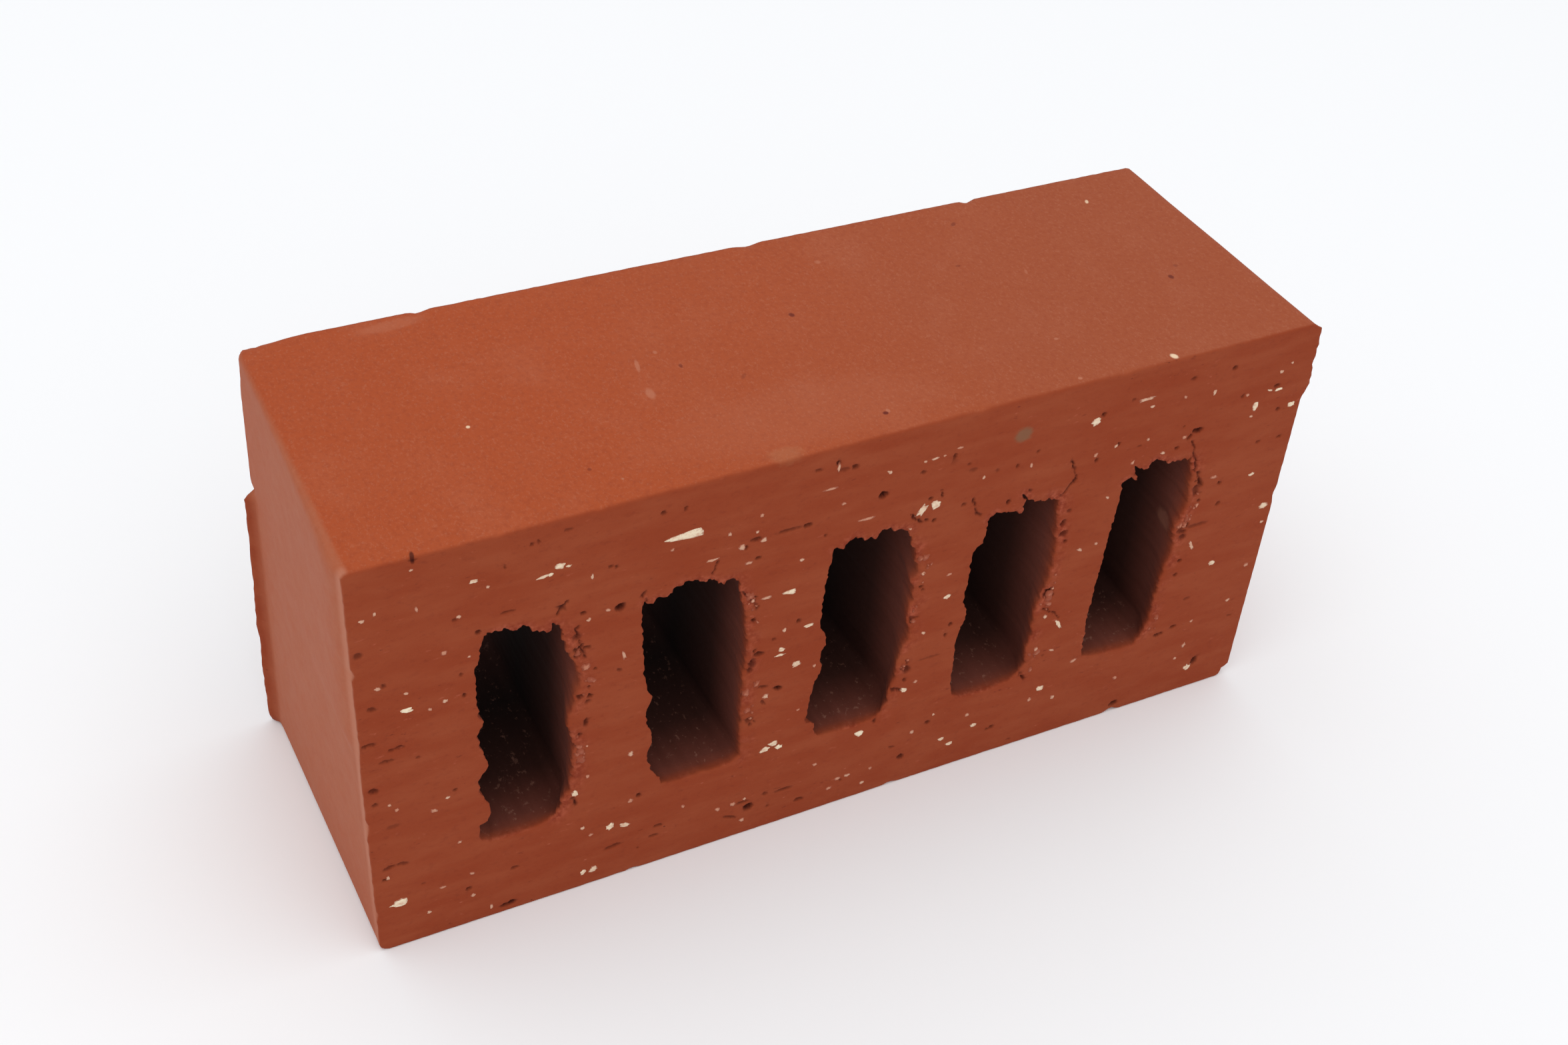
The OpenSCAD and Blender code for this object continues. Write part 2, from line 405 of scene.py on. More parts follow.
def pit_reach(flat, pit, ragged):
    """1 at a pit's middle, 0 at its ragged rim and beyond."""
    x, z, width, tall, _, *tilt = pit
    turn = math.radians(*tilt) if tilt else 0.0
    dx, dz = flat[:, 0] - x, flat[:, 1] - z
    along = (dx * math.cos(turn) + dz * math.sin(turn)) / (width / 2)
    across = (dz * math.cos(turn) - dx * math.sin(turn)) / (tall / 2)
    return 1 - np.hypot(along, across) * (1 + 0.35 * ragged)


def by_a_core(x, z):
    """Whether a place lies in a core or within two millimetres of it."""
    return any(left - 2 < x < right + 2 and lower - 2 < z < upper + 2
               for left, right, lower, upper in even_bores)


def random_pits(seed, count):
    """Smaller pits and grooves scattered over a cut face, clear of the cores."""
    draw = np.random.default_rng(seed)
    pits = []
    while len(pits) < count:
        x, z = draw.uniform(2, LENGTH - 2), draw.uniform(2, HEIGHT - 2)
        width = draw.uniform(0.7, 2.4)
        tall = min(width, draw.uniform(0.5, 1.0))
        if by_a_core(x, z):
            continue
        pits.append((x, z, width, tall, draw.uniform(0.25, 0.6), draw.uniform(-12, 14)))
    return pits


def beside_right_edge(loop, draw, clumps, each):
    """Places in clumps beside a mouth's right edge."""
    first, last = MOUTH_SIDES["bottom"] + 4, MOUTH_SIDES["bottom"] + MOUTH_SIDES["right"]
    points = draw.integers(first, last, (clumps, 1)) + draw.integers(-7, 8, (clumps, each))
    points = np.clip(points.ravel(), first, last)
    return loop[points] + outward(loop)[points] * draw.uniform(0.9, 3.2, (clumps * each, 1))


def crumbled_pits(seed, loops):
    """Small holes left where crumbs dropped out along the right edge of each mouth."""
    draw = np.random.default_rng(seed)
    pits = []
    for loop in loops:
        for x, z in beside_right_edge(loop, draw, 3, 3):
            size = 0.8 + 1.8 * draw.random() ** 2
            tall = size * draw.uniform(0.6, 1.1)
            pits.append((x, z, size, tall, draw.uniform(0.4, 0.9), draw.uniform(0, 90)))
    return pits


def cut_face(loops, hollows, cracks, seed):
    """Points and triangles of one cut face, and which of the points are its rims."""
    rim = np.concatenate(loops)
    starts = np.cumsum([0] + [len(loop) for loop in loops])
    fences = [(start + k, start + (k + 1) % len(loop))
              for start, loop in zip(starts, loops) for k in range(len(loop))]
    crack_runs = [run for run, _ in cracks]

    def zone(flat):
        """0 in the open, 1 near an edge, 2 in a pit or crack."""
        level = np.zeros(len(flat), int)
        apart = np.full(len(flat), 1e9)
        for loop in loops:
            thinned = loop[::3]
            gap = np.linalg.norm(flat[:, None] - thinned[None], axis=2).min(axis=1)
            apart = np.minimum(apart, gap)
        level[apart < NEAR_EDGE] = 1
        for x, z, width, *_ in hollows:
            near = np.hypot(flat[:, 0] - x, flat[:, 1] - z) < width / 2 + NEAR_PIT
            level[near] = 2
        level[distance_to_runs(flat, crack_runs) < NEAR_CRACK] = 2
        return level, apart

    draw = np.random.default_rng(seed)
    chosen = []
    for level, step in enumerate(POINT_STEPS):
        across, up = np.meshgrid(np.arange(0, LENGTH, step), np.arange(0, HEIGHT, step * 0.866))
        across = across + (np.arange(len(up))[:, None] % 2) * step / 2
        grid = np.stack([across.ravel(), up.ravel()], axis=1)
        grid += draw.uniform(-0.22, 0.22, grid.shape) * step
        where, apart = zone(grid)
        chosen.append(grid[(where == level) & (apart > 0.5 * min(step, 0.9))])
    inner = np.concatenate(chosen)
    flat = np.concatenate([rim, inner])
    made = geometry.delaunay_2d_cdt([Vector(p) for p in flat], fences, [], 1, 1e-7)
    points = np.array([p[:] for p in made[0]])
    triangles = np.array(made[2])
    middle = points[triangles].mean(axis=1)
    keep = inside(middle, loops[0])
    for loop in loops[1:]:
        keep &= ~inside(middle, loop)
    used = np.unique(triangles[keep])
    renumber = np.full(len(points), -1)
    renumber[used] = np.arange(len(used))
    rim_numbers = np.full(len(rim), -1)
    for place, sources in enumerate(made[3]):
        for source in sources:
            if source < len(rim):
                rim_numbers[source] = renumber[place]
    return points[used], renumber[triangles[keep]], np.split(rim_numbers, starts[1:-1])


def inside(flat, loop):
    """Which places lie inside a closed loop."""
    x, z = flat[:, 0], flat[:, 1]
    within = np.zeros(len(flat), bool)
    for (x0, z0), (x1, z1) in zip(loop, np.roll(loop, -1, axis=0)):
        if z0 != z1:
            crosses = (z0 > z) != (z1 > z)
            within ^= crosses & (x < (x1 - x0) * (z - z0) / (z1 - z0) + x0)
    return within


def relief(flat, hollows, cracks, mouths, seed):
    """How far a cut face stands in from flat, in mm, how much painted shade lies in its pits and cracks,
    and how torn the clay is.
    """
    places = in_3d(flat, 0)
    drawn = 0.03 * lumps(places, (15, 1, 3), seed) + 0.02 * lumps(places, (5, 1, 1.2), seed + 1)
    grain = 0.03 * lumps(places, 2.4, seed + 2) + 0.02 * lumps(places, 1.2, seed + 3)
    broad = 0.22 * lumps(places, (60, 1, 34), seed + 4)
    depth = drawn + grain + broad
    opened = np.zeros(len(flat))
    torn = np.zeros(len(flat))
    right_start = MOUTH_SIDES["bottom"]
    top_start = right_start + MOUTH_SIDES["right"]
    left_start = top_start + MOUTH_SIDES["top"]
    for loop in mouths:
        crumbly = loop[right_start:top_start + 8]
        top = loop[top_start:left_start]
        for edge, reach, deep in ((crumbly, 4.5, 0.55), (top, 2.5, 0.3)):
            box = (flat >= edge.min(axis=0) - reach) & (flat <= edge.max(axis=0) + reach)
            near = np.flatnonzero(box.all(axis=1))
            gap = np.linalg.norm(flat[near, None] - edge[None], axis=2).min(axis=1)
            much = smooth(1 - gap / reach)
            rough = 0.5 + 0.5 * lumps(places[near], 2.3, seed + 5)
            rough = rough + 0.3 * lumps(places[near], 1.0, seed + 6)
            depth[near] += deep * much * rough
            torn[near] = np.maximum(torn[near], much)
    ragged = lumps(places, 1.0, seed + 7)
    for pit in hollows:
        reach = pit_reach(flat, pit, ragged)
        depth += pit[4] * smooth(reach * 1.6)
        # painted shade in the pit, darker the deeper the pit
        opened = np.maximum(opened, smooth(reach * 2.6) * min(1.0, 0.22 + 0.65 * pit[4]))
    wander = np.stack([lumps(places, 1.4, seed + 8), lumps(places, 1.4, seed + 9)], axis=1)
    for run, width in cracks:
        gap = distance_to_runs(flat + 0.8 * wander, [run])
        open_here = smooth(1.15 - gap / (0.65 * width)) * smooth(0.85 + 0.9 * ragged)
        depth += 0.6 * open_here
        # painted shade in the crack
        opened = np.maximum(opened, open_here)
    return depth, opened, torn


# The brick itself: one closed skin of fired clay. Rings of points run from
# the front cut face to the rear one, round the outside and through each core,
# and the two cut faces close them.
RING_DEPTHS = [0, 0.12, 0.35, 0.8, 1.5, 2.8, 5, 9, 17]      # in from each cut face, mm
clay_points, clay_faces = [], []
clay_marks = dict(cut=[], opened=[], torn=[], bore=[], deep=[], ledge=[])


def lay(places, **marks):
    """Adds points with their marks and returns the number of the first."""
    first = sum(len(block) for block in clay_points)
    clay_points.append(places)
    for name, block in clay_marks.items():
        block.append(np.broadcast_to(np.asarray(marks.get(name, 0.0), float), len(places)))
    return first


def eased_edge(depth, softness):
    """How far a rounded edge has drawn back at this depth from the cut face."""
    short = 1 - np.clip(depth / softness, 0, 1)
    return softness * (1 - np.sqrt(np.maximum(1 - short * short, 0)))


def outer_ring(depth, burr, chip, front):
    """The outside of the brick at this depth from a cut face."""
    softness = np.where(on_left, 0.3, np.maximum(0.5 + 0.25 * rag, 0.2))
    draw_back = eased_edge(depth, softness) + chip * (1 - smooth(depth / (0.8 + 1.6 * chip)))
    reach = FRONT_BURR_REACH if front else REAR_BURR_REACH
    stand_out = burr * (1 - smooth(depth / reach))
    if front:
        bulge = smooth(depth / 8) * (1 - smooth((depth - 9) / 16)) - 0.3 * (1 - smooth(depth / 4))
        stand_out = stand_out + swell * bulge
    ring = outline + out_of * (stand_out - draw_back)[:, None]
    ring[:, 1] = np.maximum(ring[:, 1], 0)
    return ring


def core_ring(depth, torn_loop, bore_loop):
    """A core at this depth, between its torn mouth and its clean bore."""
    softness = by_side(EDGE_SOFTNESS)
    ring = torn_loop + outward(torn_loop) * eased_edge(depth, softness)[:, None]
    return ring + (bore_loop - ring) * smooth(depth / by_side(CORE_FADE))[:, None]


def bore_at(front, rear, y):
    """A core's clean wall at this depth; core bars leave fine lines along the bore."""
    wall = front + (rear - front) * (y / DEPTH)
    places = in_3d(wall, y)
    lines = 0.18 * lumps(places, (2, 60, 2), 70) + 0.25 * lumps(places, 9, 71)
    return wall + outward(wall) * lines[:, None]


def face_rings(depth, outer, torn_loops, front):
    """The rims of one cut face at a depth: the outside first, then the five cores."""
    y = depth if front else DEPTH - depth
    rims = [outer_ring(depth, *outer, front)]
    for torn_loop, f_bore, r_bore in zip(torn_loops, front_bores, rear_bores):
        rims.append(core_ring(depth, torn_loop, bore_at(f_bore, r_bore, y)))
    return rims


rear_grooves = [(x, z, 2 * width, 0.75, 0.35, tilt)
                for x, z, width, _, _, tilt in random_pits(12, 34)]
rear_cracks = [([(right - 0.5, top - 1), (right + 2, top + 1.6), (right + 3.2, top + 4)], 0.5)
               for _, right, _, top in even_bores[::2]]
rear_cracks += [([(left + 0.5, top - 0.5), (left - 1.5, top + 2.5)], 0.45)
                for left, _, _, top in even_bores[1::2]]
sides = [
    dict(front=True, outer=(front_burr, front_chip), torn=front_loops, cracks=FRONT_CRACKS, seed=1,
         hollows=FRONT_PITS + crumbled_pits(15, front_loops) + random_pits(5, 26)),
    dict(front=False, outer=(rear_burr, rear_chip), torn=rear_loops, cracks=rear_cracks, seed=20,
         hollows=random_pits(9, 150) + crumbled_pits(16, rear_loops) + rear_grooves),
]
for side in sides:
    front, hollows, cracks, seed = side["front"], side["hollows"], side["cracks"], side["seed"]
    rims = face_rings(0, side["outer"], side["torn"], front)
    points, triangles, rim_numbers = cut_face(rims, hollows, cracks, seed)
    inset, opened, torn = relief(points, hollows, cracks, side["torn"], seed)
    first = lay(in_3d(points, inset if front else DEPTH - inset), cut=1.0, opened=opened, torn=torn)
    clay_faces += (first + (triangles if front else triangles[:, ::-1])).tolist()
    side["rim_numbers"] = [numbers + first for numbers in rim_numbers]
    side["rim_inset"] = [inset[numbers] for numbers in rim_numbers]

# the outside is run 0, and the cores are runs 1 to 5
BORE_LEDGE = by_side(dict(bottom=1, right=0, top=0, left=0))
for which in range(1 + len(front_loops)):
    rings = [sides[0]["rim_numbers"][which]]
    for side in sides:
        if side["front"]:
            layers = [(depth, side) for depth in RING_DEPTHS[1:]]
        else:
            layers = [(DEPTH / 2, sides[0])] + [(depth, side) for depth in RING_DEPTHS[:0:-1]]
        for depth, owner in layers:
            flat = face_rings(depth, owner["outer"], owner["torn"], owner["front"])[which]
            push = owner["rim_inset"][which] * (1 - smooth(depth / 1.5))
            y = depth + push if owner["front"] else DEPTH - depth - push
            if which == 0:
                burr = np.clip(owner["outer"][0] - 0.5, 0, 1) * (1 - smooth((depth - 1) / 4))
                start = lay(in_3d(flat, y), cut=np.maximum(1 - smooth(depth / 0.7), burr))
            else:
                # deep: how far in the painted shade of the bore grows darker
                start = lay(in_3d(flat, y), cut=1.0, torn=0.6 * (1 - smooth(depth / 3)),
                            bore=smooth(depth / 4), deep=smooth((depth - 1) / 24), ledge=BORE_LEDGE)
            rings.append(np.arange(start, start + len(flat)))
    rings.append(sides[1]["rim_numbers"][which])
    for here, there in zip(rings, rings[1:]):
        ahead, beyond = np.roll(here, -1), np.roll(there, -1)
        quads = (here, there, beyond, ahead) if which == 0 else (here, ahead, beyond, there)
        clay_faces += np.stack(quads, axis=1).tolist()

points = np.concatenate(clay_points)
# the die-formed sides are nearly flat, with a slow wave
marks = {name: np.concatenate(block) for name, block in clay_marks.items()}
skin = (1 - marks["cut"])[:, None]
wave = 0.15 * lumps(points, 45, 80)[:, None] + 0.05 * lumps(points, 9, 81)[:, None]
centre = np.array([LENGTH / 2, DEPTH / 2, HEIGHT / 2])
outwards = (points - centre) / (LENGTH / 2, 1e9, HEIGHT / 2)
outwards = np.where(np.abs(outwards) > 0.97, np.sign(outwards), 0)
points = points + outwards * wave * skin
points[:, 2] = np.maximum(points[:, 2], 0)


def moulded(name, places, faces, marks):
    """A smooth piece of this name from face places, faces and its points' marks."""
    mesh = bpy.data.meshes.new(name)
    mesh.from_pydata(fired(places).tolist(), [], faces)
    for mark_name, values in marks.items():
        mark = mesh.attributes.new(mark_name, "FLOAT", "POINT")
        mark.data.foreach_set("value", values.astype(np.float32))
    mesh.shade_smooth()
    piece = bpy.data.objects.new(name, mesh)
    bpy.context.collection.objects.link(piece)
    return piece


brick = moulded("brick_clay", points, clay_faces, marks)

# The finish of the fired clay. The die polished the sides to a close orange
# skin. The wire left the cut faces a deeper, drawn-out red, and part of that
# darkness is painted shade. Dust and handling left pale and dark marks; the left
# end's paler colour is partly dust and partly painted sheen, and the pale strip
# along its front edge is a painted highlight. All sizes are in millimetres of clay.
fired_clay = bpy.data.materials.new("fired_clay")
fired_clay.use_nodes = True
tree = fired_clay.node_tree
clay_shader = tree.nodes["Principled BSDF"]


def step(kind, inputs=None, **settings):
    """One node of the finish in hand: its settings, and what feeds each of its inputs."""
    made = tree.nodes.new("ShaderNode" + kind)
    for name, value in settings.items():
        setattr(made, name, value)
    for name, value in (inputs or {}).items():
        if isinstance(value, bpy.types.NodeSocket):
            tree.links.new(value, made.inputs[name])
        else:
            made.inputs[name].default_value = value
    return made


def mark_on(name):
    """A mark that the mesh carries on its points."""
    return step("Attribute", attribute_name=name).outputs["Fac"]


def sum_of(*terms):
    """Adds up (amount, value) terms."""
    total = None
    for amount, value in terms:
        part = step("Math", {0: value, 1: amount}, operation="MULTIPLY").outputs[0]
        if total is None:
            total = part
        else:
            total = step("Math", {0: total, 1: part}, operation="ADD").outputs[0]
    return total


def product(*values):
    """Multiplies the values together."""
    total = values[0]
    for value in values[1:]:
        total = step("Math", {0: total, 1: value}, operation="MULTIPLY").outputs[0]
    return total


def eased(value, start, end):
    """0 at start, 1 at end, eased between."""
    return step("MapRange", {"Value": value, "From Min": start, "From Max": end},
                interpolation_type="SMOOTHSTEP").outputs[0]


def blend(share, first, second):
    """The first colour at share 0, the second at share 1."""
    mixer = step("Mix", data_type="RGBA")
    for socket, value in ((0, share), (6, first), (7, second)):
        if isinstance(value, bpy.types.NodeSocket):
            tree.links.new(value, mixer.inputs[socket])
        else:
            mixer.inputs[socket].default_value = value
    return mixer.outputs[2]


def tinted(colour, tint, strength, *shares):
    """The colour with a tint laid over it at this strength, where all the shares are 1."""
    return blend(product(*shares, strength), colour, tint)


def scaled(size, shift):
    """Places on the piece, counted in steps of this many millimetres along x, y and z."""
    here = step("TexCoord").outputs["Object"]
    scale = tuple(1 / (MM * side) for side in size)
    return step("Mapping", {"Vector": here, "Location": shift, "Scale": scale}).outputs[0]


def clouding(size, detail=3.0, roughness=0.5, shift=(0, 0, 0)):
    """Noise whose lumps have this size in millimetres along x, y and z."""
    return step("TexNoise", {"Vector": scaled(size, shift), "Scale": 1.0, "Detail": detail,
                             "Roughness": roughness}).outputs["Fac"]


def patches(size, start, end, detail=3.0, roughness=0.5, shift=(0, 0, 0)):
    """Clouding eased to 0 below start and 1 above end."""
    return eased(clouding(size, detail, roughness, shift), start, end)


def specks(size, largest, share, shift=(0, 0, 0)):
    """Scattered spots, up to largest of a cell across, in this share of the cells."""
    cells = step("TexVoronoi", {"Vector": scaled(size, shift), "Scale": 1.0})
    parts = step("SeparateColor", {"Color": cells.outputs["Color"]})
    chosen = step("Math", {0: parts.outputs[0], 1: share}, operation="LESS_THAN").outputs[0]
    radius = step("Math", {0: parts.outputs[1], 1: largest}, operation="MULTIPLY").outputs[0]
    closeness = step("Math", {0: radius, 1: cells.outputs["Distance"]}, operation="SUBTRACT")
    return product(eased(closeness.outputs[0], 0.0, 0.08), chosen)


def blot(centre, size, tilt=(0, 0, 0), ragged=0.5):
    """A soft-edged spot on the surface at a face place, with its whole size in millimetres."""
    place = fired(np.array([centre], float))[0]
    here = step("TexCoord").outputs["Object"]
    moved = step("Mapping", {"Vector": here, "Location": tuple(place),
                             "Rotation": tuple(map(math.radians, tilt)),
                             "Scale": tuple(side * MM / 2 for side in size)}, vector_type="TEXTURE")
    reach = step("VectorMath", {0: moved.outputs[0]}, operation="LENGTH").outputs["Value"]
    broken = sum_of((1.0, reach), (ragged, clouding((1.6, 1.6, 1.6), 4, 0.6)))
    return eased(broken, 1.0 + ragged * 0.5, 0.45 + ragged * 0.5)


cut, opened, torn, bore, deep, ledge = (mark_on(name) for name in clay_marks)
orange_skin = (0.378, 0.068, 0.018, 1)
brown_skin = (0.332, 0.074, 0.027, 1)
dusty_skin = (0.47, 0.17, 0.095, 1)
# the left end's colour: partly dust, partly painted sheen
left_end_dust_and_sheen = (0.39, 0.122, 0.060, 1)
# a painted highlight colour
front_arris_highlight = (0.52, 0.22, 0.14, 1)
# the cut faces' reds: the clay's own deeper red, darkened further as painted shade
deep_red_and_cut_shade = (0.268, 0.044, 0.0142, 1)
cut_red_and_shade = (0.302, 0.061, 0.0225, 1)
dark_red = (0.12, 0.014, 0.008, 1)
pink_grog = (0.52, 0.15, 0.09, 1)
pink_drag = (0.44, 0.105, 0.058, 1)
torn_dark = (0.19, 0.022, 0.009, 1)
torn_light = (0.45, 0.105, 0.055, 1)
# the bores' colours: the clay darkened as painted shade, near black deepest in
bore_dark_shade = (0.125, 0.031, 0.019, 1)
bore_pale_shade = (0.185, 0.051, 0.034, 1)
bore_deep_shade = (0.020, 0.009, 0.007, 1)
fallen_dust = (0.34, 0.16, 0.11, 1)
olive_stain = (0.17, 0.125, 0.070, 1)
tan_rub = (0.42, 0.19, 0.09, 1)
pale_bore_streak = (0.40, 0.16, 0.10, 1)
pale_grain = (0.80, 0.58, 0.38, 1)
# near black: dark specks in the clay, and painted shade in pits and cracks
dark_speck_and_hollow_shade = (0.045, 0.006, 0.004, 1)

# the die skin: orange to the left, browner to the right; the left end paler and duller, partly dust and
# partly painted sheen
across = step("SeparateXYZ", {"Vector": step("TexCoord").outputs["Object"]})
drift = sum_of((1.0, across.outputs["X"]), (0.09, clouding((50, 50, 50), 2)))
skin = blend(eased(drift, -0.03, 0.13), orange_skin, brown_skin)
skin = tinted(skin, dusty_skin, 0.16, patches((16, 20, 16), 0.45, 0.85, 4, 0.55))
skin = tinted(skin, deep_red_and_cut_shade, 0.42, patches((1.1, 1.4, 1.1), 0.42, 0.72, 5, 0.7))
skin = tinted(skin, dusty_skin, 0.26, patches((0.6, 0.9, 0.6), 0.5, 0.72, 3, 0.7, (1, 4, 2)))
skin = tinted(skin, pale_grain, 0.5, specks((14, 14, 14), 0.05, 0.25))
skin_specks = specks((11, 11, 11), 0.05, 0.3, (4, 2, 7))
skin = tinted(skin, dark_red, 0.5, skin_specks)
left_end = eased(across.outputs["X"], -LENGTH / 2 * MM + 0.0016, -LENGTH / 2 * MM + 0.0002)
# painted sheen over the whole left end, mottled like dust
dust_and_sheen_mottle = sum_of((0.9, clouding((3, 3, 3), 5, 0.7)), (0.17, 1.0))
skin = blend(product(left_end, dust_and_sheen_mottle), skin, left_end_dust_and_sheen)
# painted highlight: a pale strip on the left end along its front edge, where its rounded edge catches the
# light
arris_highlight_strip = eased(across.outputs["Y"], (-DEPTH / 2 + 3.2) * MM, (-DEPTH / 2 + 0.8) * MM)
skin = tinted(skin, front_arris_highlight, 0.45, left_end, arris_highlight_strip)

# the wire-cut faces: two reds drawn out sideways, darker than the skin partly as painted shade, with
# specks and dragged dashes
drawn = clouding((16, 5, 4.0), 3, 0.5)
face = blend(eased(drawn, 0.3, 0.8), deep_red_and_cut_shade, cut_red_and_shade)
face = tinted(face, cut_red_and_shade, 0.5, patches((30, 20, 20), 0.4, 0.8, 3, 0.5, (2, 2, 2)))
face = tinted(face, dark_red, 0.25, patches((1.8, 1.4, 1.1), 0.5, 0.8, 5, 0.65))
wire_dashes = patches((3.2, 2, 0.6), 0.72, 0.8, 3, 0.6, (7, 1, 3))
# the dashes are open slits, and their dark tint is painted shade
face = tinted(face, dark_red, 0.5, wire_dashes)
face = tinted(face, pink_grog, 0.45, specks((4.2, 3, 1.8), 0.13, 0.3, (1, 3, 2)))
burnt_specks = specks((3.6, 3, 2.2), 0.10, 0.08, (5, 3, 9))
face = tinted(face, dark_speck_and_hollow_shade, 0.6, burnt_specks)
worked = patches((14, 9, 9), 0.46, 0.64, 3, 0.6, (5, 5, 1))
light_drag = patches((2.4, 2, 0.9), 0.64, 0.72, 3, 0.6, (3, 1, 1))
face = tinted(face, pink_drag, 0.45, worked, light_drag)
dark_drag = patches((2.6, 2, 0.9), 0.66, 0.73, 3, 0.6, (9, 2, 4))
face = tinted(face, dark_red, 0.5, worked, dark_drag)
crumbled = blend(patches((1.3, 1.3, 1.3), 0.35, 0.7, 5, 0.65), torn_dark, torn_light)
patchy = patches((6, 6, 6), 0.35, 0.65, 3, 0.6, (3, 8, 1))
face = blend(product(torn, patchy, 0.75), face, crumbled)
colour = blend(cut, skin, face)

# the bores: browner, and darkened as painted shade, darker still with depth as painted shade, with dust
# lying on their lower sides
inner = blend(clouding((2, 30, 2), 3, 0.5), bore_dark_shade, bore_pale_shade)
inner = blend(deep, inner, bore_deep_shade)
fallen = product(ledge, patches((1.4, 2.0, 1.4), 0.58, 0.70, 4, 0.7, (2, 5, 5)))
inner = tinted(inner, fallen_dust, 0.5, fallen)
colour = blend(bore, colour, inner)
# painted shade in the pits, cracks and dashes
colour = tinted(colour, dark_speck_and_hollow_shade, 0.9, opened)
stain = blot((150.8, 0, 100.3), (5.6, 4, 5.0), ragged=0.7)
colour = tinted(colour, olive_stain, 0.55, stain)
# scuffs and spots on the upper side: place, size, turn, strength and tint
for place, size, turn, strength, tint in [
        ((75.7, 30.6, 110), (2.6, 5.0, 4), (0, 0, -4), 0.55, dusty_skin),
        ((77.0, 40.6, 110), (1.3, 6.0, 4), (0, 0, -14), 0.60, dusty_skin),
        ((33, 72.5, 110), (20, 5.0, 4), (0, 0, 4), 0.25, dusty_skin),
        ((93.5, 2.0, 109.6), (11, 6.0, 4), (0, 0, 0), 0.22, tan_rub),
        ((100, 13, 110), (80, 26, 4), (0, 0, 0), 0.11, dusty_skin),
        ((36.6, 33.4, 110), (1.2, 1.3, 3), (0, 0, 0), 0.9, pale_grain),
        ((132.3, 63.3, 110), (2.0, 2.0, 3), (0, 0, 0), 0.4, dusty_skin),
        ((82.5, 43.8, 110), (1.3, 1.6, 3), (0, 0, 0), 0.5, dusty_skin),
        ((176.7, 42.9, 110), (1.0, 2.6, 3), (0, 0, -20), 0.4, dusty_skin),
        ((168.3, 16.9, 110), (1.4, 1.2, 3), (0, 0, 0), 0.6, dusty_skin),
        ((165.0, 2.1, 110), (1.4, 1.2, 3), (0, 0, 0), 0.8, dusty_skin),
        ((189.6, 1.5, 110), (2.1, 2.6, 3), (0, 0, 20), 1.0, pale_grain),
        ((208.4, 64.8, 110), (1.2, 2.2, 3), (0, 0, -25), 0.8, pale_grain),
        ((120.0, 7.3, 110), (1.2, 1.8, 3), (0, 0, 0), 0.6, dusty_skin),
        ((119.1, 6.7, 110), (1.7, 1.5, 3), (0, 0, 0), 0.9, dark_red),
        ((208.2, 28.8, 110), (1.7, 2.4, 3), (0, 0, 0), 0.8, dark_red),
        ((212.1, 32.5, 110), (1.6, 1.6, 3), (0, 0, 0), 0.35, dark_red),
        ((116.8, 46.1, 110), (1.7, 2.1, 3), (0, 0, 0), 0.8, dark_red),
        ((85.7, 37.3, 110), (1.2, 2.0, 3), (0, 0, 0), 0.6, dark_red),
        ((162.8, 50.6, 110), (1.8, 1.1, 3), (0, 0, 0), 0.4, dark_red),
        ((171.2, 67.0, 110), (1.4, 2.6, 3), (0, 0, -45), 0.5, dark_red),
        ((54.4, 11.9, 110), (1.2, 1.3, 3), (0, 0, 0), 0.5, dark_red),
        ((96.8, 29.2, 110), (1.2, 3.0, 3), (0, 0, -40), 0.3, dark_red),
        ((14.1, 0.6, 110), (1.2, 3.6, 4), (0, 0, -10), 0.8, dark_speck_and_hollow_shade),
        # a paler streak on the right wall of the fifth bore, near its mouth
        ((201.0, 6.2, 56.5), (3, 9, 7.0), (0, 0, 0), 0.35, pale_bore_streak)]:
    colour = tinted(colour, tint, strength, blot(place, size, turn))
tree.links.new(colour, clay_shader.inputs["Base Color"])

skin_roughness = sum_of((0.16, clouding((6, 12, 6), 4, 0.6)), (0.62, 1.0))
cut_roughness = sum_of((0.12, clouding((2, 2, 2), 4, 0.6)), (0.84, 1.0))
mixed = step("Mix", {0: cut, 2: skin_roughness, 3: cut_roughness}, data_type="FLOAT")
tree.links.new(mixed.outputs[0], clay_shader.inputs["Roughness"])
clay_shader.inputs["Specular IOR Level"].default_value = 0.15

# fine relief, in millimetres of height
skin_height = sum_of((0.05, clouding((0.5, 0.6, 0.5), 4, 0.6)),
                     (0.015, clouding((0.7, 26, 0.7), 2)),
                     (0.10, clouding((4, 7, 4), 2)), (-0.3, skin_specks))
cut_height = sum_of((0.12, clouding((0.9, 0.8, 0.8), 5, 0.65)),
                    (0.04, clouding((6, 3, 1.4), 4, 0.6)),
                    (0.03, drawn), (-0.35, burnt_specks), (-0.3, wire_dashes),
                    (0.3, product(torn, clouding((1.1, 1.1, 1.1), 4, 0.6, (3, 3, 3)))))
height = step("Mix", {0: cut, 2: skin_height, 3: cut_height}, data_type="FLOAT").outputs[0]
rise = step("Bump", {"Height": height, "Distance": MM, "Strength": 0.8})
tree.links.new(rise.outputs[0], clay_shader.inputs["Normal"])
brick.data.materials.append(fired_clay)
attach(brick, "root")
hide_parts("brick")

# ---------------------------------------------------------------------------
# Pale grains of grog and lime in the clay, and crumbs of clay beside the cores.
# They show where the wire laid them bare: flat shards, flush with the cut face,
# fired into the clay and most of them drawn out sideways.

